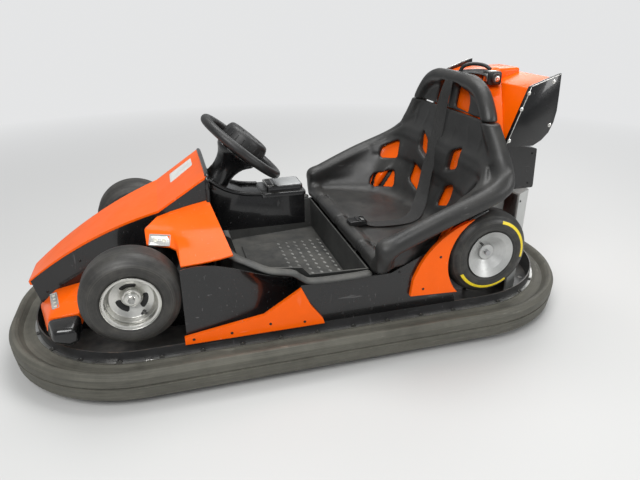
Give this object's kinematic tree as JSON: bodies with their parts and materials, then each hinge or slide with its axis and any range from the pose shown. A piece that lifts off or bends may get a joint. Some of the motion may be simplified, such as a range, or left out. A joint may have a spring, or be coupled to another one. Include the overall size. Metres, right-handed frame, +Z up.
{
  "type": "bumper car",
  "caption": "Single-seat formula-style bumper car: rubber bumper ring, show wheels, bucket seat, rear wing, steered drive wheel below.",
  "frame": {"origin": "on the floor, below the middle of the bumper ring", "axes": "+X to the rear, +Y to the car's right, +Z up"},
  "size_m": [1.8698, 0.8798, 0.8195],
  "materials": {
    "orange_paint": "gloss",
    "black_paint": "gloss",
    "grey_paint": "satin",
    "bumper_rubber": "worn matt",
    "strip_metal": "satin",
    "frame_steel": "satin",
    "axle_steel": "satin",
    "lamp_lens": "clear",
    "tub_plastic": "matt",
    "pedal_metal": "satin",
    "reader_plastic": "gloss",
    "seat_plastic": "satin",
    "webbing": "woven",
    "buckle_plastic": "satin",
    "grip_plastic": "satin",
    "motor_paint": "satin",
    "solid_tyre": "matt",
    "tyre": "satin",
    "rim_aluminium": "machined",
    "rim_grey": "satin"
  },
  "bodies": {
    "chassis": {"bumper_ring": "bumper_rubber", "edge_strip": "strip_metal", "floor_pan": "frame_steel", "drive_turret": "frame_steel", "underframe": "frame_steel", "carrier_brackets": "frame_steel", "seat_frame": "frame_steel", "front_axle": "axle_steel", "rear_axle": "axle_steel", "nose_top": "orange_paint", "nose_body": "black_paint", "front_wings": "orange_paint", "front_wing_feet": "black_paint", "front_cowls": "orange_paint", "cowl_lamps": "lamp_lens", "side_pods": "black_paint", "side_flashes": "orange_paint", "side_panels": "black_paint", "side_scoops": "orange_paint", "cockpit_tub": "tub_plastic", "tread_plate": "tub_plastic", "foot_pedals": "pedal_metal", "console_box": "black_paint", "card_reader": "reader_plastic", "steering_column": "black_paint", "seat_shell": "seat_plastic", "headrest": "seat_plastic", "engine_cover": "orange_paint", "wing_endplates": "black_paint", "rear_panels": "black_paint", "rear_body": "grey_paint", "seat_belt": "webbing", "belt_buckle": "buckle_plastic", "belt_retractor": "buckle_plastic"},
    "steering": {"steering_rim": "grip_plastic", "steering_spokes": "axle_steel", "steering_pad": "grip_plastic", "steering_shaft": "axle_steel"},
    "drive_unit": {"drive_fork": "frame_steel", "drive_motor": "motor_paint"},
    "drive_wheel": {"drive_wheel_hub": "axle_steel", "drive_wheel_tyre": "solid_tyre"},
    "carrier_left": {"carrier_wheel_left": "solid_tyre"},
    "carrier_right": {"carrier_wheel_right": "solid_tyre"},
    "front_wheel_left": {"front_tyre_left": "tyre", "front_rim_left": "rim_aluminium"},
    "front_wheel_right": {"front_tyre_right": "tyre", "front_rim_right": "rim_aluminium"},
    "rear_wheel_left": {"rear_tyre_left": "tyre", "rear_rim_left": "rim_grey"},
    "rear_wheel_right": {"rear_tyre_right": "tyre", "rear_rim_right": "rim_grey"}
  },
  "joints": [
    {"name": "steering_turn", "type": "hinge", "parent": "chassis", "child": "steering", "pos_m": [-0.192, 0, 0.582], "axis": [0.6561, 0, 0.7547], "continuous": true},
    {"name": "drive_steer", "type": "hinge", "parent": "chassis", "child": "drive_unit", "pos_m": [-0.46, 0, 0.1], "axis": [0, 0, 1], "continuous": true},
    {"name": "drive_spin", "type": "hinge", "parent": "drive_unit", "child": "drive_wheel", "pos_m": [-0.46, 0, 0.1], "axis": [0, 1, 0], "continuous": true},
    {"name": "carrier_spin_left", "type": "hinge", "parent": "chassis", "child": "carrier_left", "pos_m": [0.592, -0.15, 0.055], "axis": [0, 1, 0], "continuous": true},
    {"name": "carrier_spin_right", "type": "hinge", "parent": "chassis", "child": "carrier_right", "pos_m": [0.592, 0.15, 0.055], "axis": [0, 1, 0], "continuous": true},
    {"name": "front_spin_left", "type": "hinge", "parent": "chassis", "child": "front_wheel_left", "pos_m": [-0.551, -0.309, 0.279], "axis": [0, 1, 0], "continuous": true},
    {"name": "front_spin_right", "type": "hinge", "parent": "chassis", "child": "front_wheel_right", "pos_m": [-0.551, 0.309, 0.279], "axis": [0, 1, 0], "continuous": true},
    {"name": "rear_spin_left", "type": "hinge", "parent": "chassis", "child": "rear_wheel_left", "pos_m": [0.507, -0.318, 0.279], "axis": [0, 1, 0], "continuous": true},
    {"name": "rear_spin_right", "type": "hinge", "parent": "chassis", "child": "rear_wheel_right", "pos_m": [0.507, 0.318, 0.279], "axis": [0, 1, 0], "continuous": true}
  ],
  "couplings": [
    {"joint": "drive_steer", "follows": "steering_turn", "ratio": 1}
  ]
}
